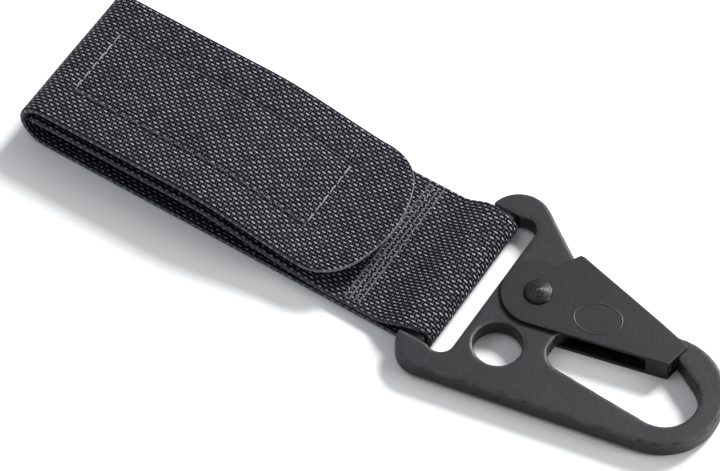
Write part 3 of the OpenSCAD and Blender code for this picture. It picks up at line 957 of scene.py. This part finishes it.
def softened(node, name, square, rounds, share_of=None, fine_rounds=0):
    """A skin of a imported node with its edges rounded, most where share_of says 1."""
    made = skin_of(node, name, square)
    mesh = made.data
    points, normals = rows_of(mesh.vertices, "co", 3).astype(float), rows_of(mesh.vertices, "normal", 3)
    edges = rows_of(mesh.edges, "vertices", 2, np.int32)
    degree = np.bincount(edges.ravel(), minlength=len(points)).astype(float)
    everywhere = np.ones(len(points))
    moved = averaged(points, edges, degree, rounds, share_of(points) if share_of else everywhere)
    moved = averaged(moved, edges, degree, fine_rounds, everywhere)
    sunk = -np.einsum("ij,ij->i", moved - points, normals)
    mesh.vertices.foreach_set("co", moved.astype(np.float32).ravel())
    worn = np.clip(sunk / (WORN_SINK * square), 0, 1).astype(np.float32)
    mesh.attributes.new("worn_edge", "FLOAT", "POINT").data.foreach_set("value", worn)
    mesh.update()
    mesh.shade_smooth()
    remember_place(made)
    print(name, "sank at its edges by up to", round(float(sunk.max()) / MM, 2), "mm")
    return made


frame_piece = softened("clip_frame", "hook_frame", 0.22 * MM, 9)

# %% [markdown]
# ## The coating
#
# Powder on a casting dries to a matt skin with a faint orange-peel swell and fine
# grit. It is thinnest on edges, where handling polishes it and bares a little
# metal. The measure that the softening left says where that is, and noise breaks
# it up. A turned part adds its tool marks to the height.

# %% Coating
COAT_RELIEF = 0.035 * MM
DOT_LIGHTER = 3.2


def coated_finish(name, dark, light, bare, roughness, peel, grit_depth=0.25, marks=None):
    f = Finish(name)
    here = f.here()
    cloud, grit, speck = f.grain(here, 120, 3.0), f.grain(here, 3800), f.grain(here, 1500, 1.0)
    swell = f.grain(here, 900)
    broken = (f.grain(here, 420, 3.0) * 0.9 + f.grain(here, 90) * 0.5).ramp(0.46, 0.86)
    worn = f.measure("worn_edge") * broken
    base = f.blend((cloud * 0.6 + grit * 0.5).ramp(0.3, 0.85), dark, light)
    base = f.blend(speck.ramp(0.70, 0.80) * 0.55, base, tuple(c * DOT_LIGHTER for c in light))
    base = f.blend(worn * 0.8, base, bare)
    height = swell * peel + grit * grit_depth
    if marks:
        height = height + marks(f)
    return f.done(base_color=base, metallic=(worn * 0.6 + 0.1).least(1),
        roughness=roughness + grit * 0.10 - cloud * 0.06 - worn * 0.12,
        normal=f.bump(height, COAT_RELIEF), specular_ior_level=0.27)


frame_coat = coated_finish("coated_zinc", (0.0058, 0.0058, 0.0070), (0.0145, 0.0146, 0.0178),
    (0.10, 0.10, 0.105), 0.46, 0.9)
gate_coat = coated_finish("coated_steel", (0.0036, 0.0036, 0.0044), (0.0095, 0.0095, 0.0115),
    (0.10, 0.10, 0.105), 0.42, 0.5)
dress(frame_piece, frame_coat, "clip", ("clip_frame",))

# %% [markdown]
# ## The gate
#
# The gate is one blank of sheet folded over the hook, so its bends are round on
# the outside and its cut edges are nearly sharp. Both come from the same
# softening: the many rounds work only beside the bends, and two more everywhere.
# A plain oval stands on the upper plate, with nothing in it.

# %% The gate's bends
RIVET = (box["gate_rivet"][0] + box["gate_rivet"][1]) / 2
GATE_TOP, GATE_LOW = box["gate"][1].z, box["gate"][0].z
BEND_NEAR, BEND_FADE = 0.55 * MM, 0.35 * MM


def bend_lines():
    """The long edges of the gate's outside, where the sheet turns from a plate to its side."""
    lines = []
    work = welded("gate")
    for edge in work.edges:
        ends = [v.co.copy() for v in edge.verts]
        outer = all(min(abs(q.z - GATE_TOP), abs(q.z - GATE_LOW)) < 0.02 * MM for q in ends)
        tall = False
        for face in edge.link_faces:
            heights = [v.co.z for v in face.verts]
            tall = tall or (abs(face.normal.z) < 0.1 and max(heights) - min(heights) > 3 * MM)
        if outer and tall and edge.calc_length() > 2 * MM and edge.calc_face_angle(0) > 1:
            lines.append([np.array(q) for q in ends])
    work.free()
    return lines


def near_bends(points):
    """1 beside a bend, 0 away from it."""
    closest = np.full(len(points), 1.0)
    for a, b in bends:
        t = np.clip((points - a) @ (b - a) / ((b - a) @ (b - a)), 0.02, 0.98)
        closest = np.minimum(closest, np.linalg.norm(points - a - t[:, None] * (b - a), axis=1))
    return 1 - np.clip((closest - BEND_NEAR) / BEND_FADE, 0, 1)


bends = bend_lines()
print("gate's bends, mm:", [round(float(np.linalg.norm(b - a)) / MM, 1) for a, b in bends])
gate_piece = softened("gate", "hook_gate", 0.17 * MM, 15, near_bends, 2)
dress(gate_piece, gate_coat, "gate", ("gate",))

# %% The oval
OVAL_AT = Vector((RIVET.x + 12.2 * MM, RIVET.y + 0.9 * MM, GATE_TOP))
OVAL_LONG, OVAL_SHORT, OVAL_LINE, OVAL_TURN = 4.5 * MM, 3.3 * MM, 0.20 * MM, math.radians(20)
OVAL_HEIGHT = 0.06 * MM
OVAL_STEPS, OVAL_SIDES = 96, 8


def turns_of(count):
    return [2 * math.pi * k / count for k in range(count)]


verts = []
for a in turns_of(OVAL_STEPS):
    place = Vector((OVAL_LONG * math.cos(a), OVAL_SHORT * math.sin(a), 0))
    outward = Vector((math.cos(a) / OVAL_LONG, math.sin(a) / OVAL_SHORT, 0)).normalized()
    for b in turns_of(OVAL_SIDES):
        q = place + outward * OVAL_LINE * math.cos(b) + Vector((0, 0, OVAL_HEIGHT * math.sin(b)))
        verts.append(OVAL_AT + Matrix.Rotation(OVAL_TURN, 3, "Z") @ q)
oval_coat = coated_finish("oval_line", (0.012, 0.012, 0.014), (0.030, 0.030, 0.034), (0.1, 0.1, 0.1),
    0.36, 0.3)
dress(solid("gate_oval", verts, tube_faces(0, OVAL_STEPS, OVAL_SIDES, joined=True)), oval_coat,
    "gate")

# %% [markdown]
# ## The rivet and the spring
#
# The rivet's head was turned, so it is a profile spun round its axis, with small
# rounded steps and the tool's fine rings. The spring is drawn wire, swept again
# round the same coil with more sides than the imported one.

# %% The rivet's profile
HEAD_Z = GATE_TOP + 0.05 * MM
HEAD_H = box["gate_rivet"][1].z - HEAD_Z
SHANK_R, SET_R, SET_TOP = 1.5 * MM, 2.3 * MM, GATE_LOW + 0.3 * MM
SET_SOFT, SET_SOFT_LOW = 0.06 * MM, 0.08 * MM
# half of the head, from the axis outwards: radius in millimetres and share of the head's height
HEAD = [(0, 1), (0.30, 1), (0.80, 0.985), (0.86, 0.93), (0.95, 0.90), (1.45, 0.86), (1.58, 0.80),
    (1.68, 0.73), (1.80, 0.70), (2.22, 0.60), (2.45, 0.46), (2.60, 0.33), (2.68, 0.20), (2.70, 0.10)]

profile = [(r * MM, HEAD_Z + HEAD_H * share) for r, share in HEAD]
profile += [(2.66 * MM, HEAD_Z + 0.02 * MM), (2.60 * MM, HEAD_Z), (SHANK_R, HEAD_Z), (SHANK_R, SET_TOP)]
profile += [(SET_R - SET_SOFT, SET_TOP), (SET_R, SET_TOP - SET_SOFT), (SET_R, GATE_LOW + SET_SOFT_LOW),
    (SET_R - SET_SOFT_LOW, GATE_LOW), (0, GATE_LOW)]

# %% The rivet
RING_PITCH, RING_HEIGHT = 0.24 * MM, 0.30


def spun(name, outline, axis, steps=72):
    """An outline of radius and height, spun round an upright axis."""
    verts, faces, rows = [], [], []
    for r, z in outline:
        if r == 0:
            rows.append([len(verts)] * steps)
            verts.append((axis.x, axis.y, z))
        else:
            rows.append(list(range(len(verts), len(verts) + steps)))
            verts += [(axis.x + r * math.cos(a), axis.y + r * math.sin(a), z) for a in turns_of(steps)]
    for top_row, low_row in zip(rows, rows[1:]):
        for k in range(steps):
            q = (top_row[k], low_row[k], low_row[(k + 1) % steps], top_row[(k + 1) % steps])
            faces.append(tuple(dict.fromkeys(q)))
    made = solid(name, verts, faces)
    made.data.set_sharp_from_angle(angle=math.radians(50))
    return made


def rings(f):
    x, y, _ = f.split(f.here())
    radius = ((x - RIVET.x) * (x - RIVET.x) + (y - RIVET.y) * (y - RIVET.y)).root()
    return (radius * (2 * math.pi / RING_PITCH)).sine() * RING_HEIGHT


rivet_coat = coated_finish("rivet_steel", (0.006, 0.006, 0.007), (0.012, 0.012, 0.014), (0.2, 0.2, 0.21),
    0.30, 0.1, 0.03, rings)
dress(spun("gate_pin", profile, RIVET), rivet_coat, "clip", ("gate_rivet",))

# %% The spring's path
WIRE, COIL_R, COIL_PITCH, COIL_TURNS = 0.7 * MM, 2.45 * MM, 0.78 * MM, 2
LEG_ANGLE, LEG, ANCHOR = 45, 13.9 * MM, 5.0 * MM
SWEEP = 360 * COIL_TURNS + 85
FIRST = LEG_ANGLE - 90 - SWEEP
COIL_STEPS, LEG_STEPS, ANCHOR_STEPS, WIRE_SIDES = 46 * COIL_TURNS, 10, 6, 14


def toward(angle):
    return Vector((math.cos(math.radians(angle)), math.sin(math.radians(angle)), 0))


COIL_Z = box["gate_spring"][0].z + WIRE / 2
centre = Vector((RIVET.x, RIVET.y, COIL_Z))
path = [centre + COIL_R * toward(FIRST) - ANCHOR * k / ANCHOR_STEPS * toward(FIRST + 90)
    for k in range(ANCHOR_STEPS, 0, -1)]
path += [centre + COIL_R * toward(FIRST + SWEEP * k / COIL_STEPS)
    + Vector((0, 0, COIL_TURNS * COIL_PITCH * k / COIL_STEPS)) for k in range(COIL_STEPS + 1)]
path += [path[-1] + LEG * k / LEG_STEPS * toward(LEG_ANGLE) for k in range(1, LEG_STEPS + 1)]

# %% The spring
def wire(path, radius):
    """A tube's points. Its sides keep upright, so that it doesn't twist along a coil."""
    verts = []
    for i, here in enumerate(path):
        side = Vector((0, 0, 1)).cross(direction(path, i)).normalized()
        up = direction(path, i).cross(side)
        verts += [here + radius * (math.cos(a) * side + math.sin(a) * up) for a in turns_of(WIRE_SIDES)]
    return verts


def steel_finish():
    f = Finish("spring_steel")
    draw = f.grain(f.here(), 5000)
    stain = f.grain(f.here(), 260, 3.0)
    base = f.blend(stain.ramp(0.35, 0.75), (0.30, 0.31, 0.33), (0.46, 0.47, 0.49))
    return f.done(base_color=base, metallic=0.95, roughness=0.26 + draw * 0.14,
        normal=f.bump(draw, 0.01 * MM))


spring = solid("gate_spring_wire", wire(path, WIRE / 2), tube_faces(0, len(path), WIRE_SIDES))
dress(spring, steel_finish(), replaced=("gate_spring",))
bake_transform(spring)
